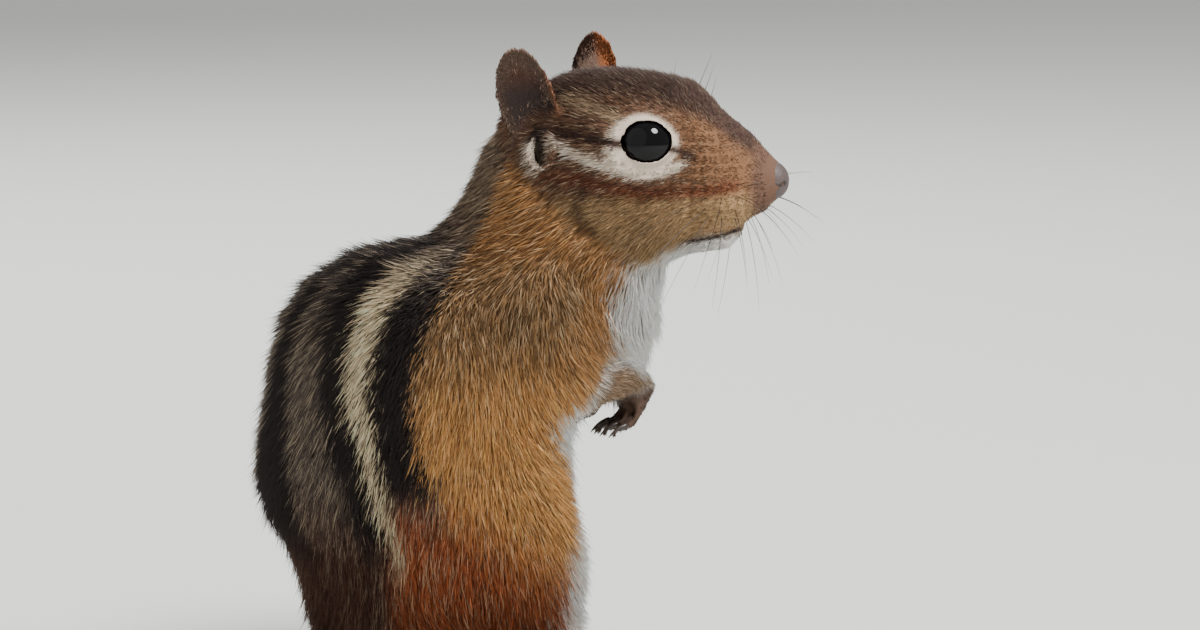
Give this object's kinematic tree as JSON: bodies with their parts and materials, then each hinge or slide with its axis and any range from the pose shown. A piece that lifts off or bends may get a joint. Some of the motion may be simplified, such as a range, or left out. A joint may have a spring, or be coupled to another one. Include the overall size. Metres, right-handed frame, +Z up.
{
  "type": "sitting eastern chipmunk, life-size still model",
  "caption": "A life-size still model of an eastern chipmunk sitting up on its haunches, its head turned to its right, its paws at its chest and its bushy tail curled along the floor.",
  "frame": {"origin": "the middle of the bounding box at the floor", "axes": "+X is the way the chest faces, +Y is the animal's left, +Z is up"},
  "size_m": [0.0894, 0.0688, 0.1018],
  "materials": {
    "fur": "short dense fur, buff brown with dark ticking",
    "red_fur": "short dense fur, rufous",
    "short_fur": "very short fur, grey-brown",
    "tail_fur": "long flat locks, dark with grey tips",
    "eye": "wet gloss black"
  },
  "bodies": {
    "root": {"head": "fur", "neck": "fur", "torso": "fur", "ear_right": "short_fur", "ear_left": "short_fur", "eye_right": "eye", "eye_left": "eye", "thigh_right": "red_fur", "thigh_left": "red_fur", "hind_foot_right": "short_fur", "hind_foot_left": "short_fur", "upper_arm_right": "fur", "upper_arm_left": "fur", "forearm_right": "fur", "forearm_left": "fur", "forepaw_right": "short_fur", "forepaw_left": "short_fur", "tail_base": "tail_fur", "tail_middle": "tail_fur", "tail_tip": "tail_fur"}
  },
  "joints": []
}
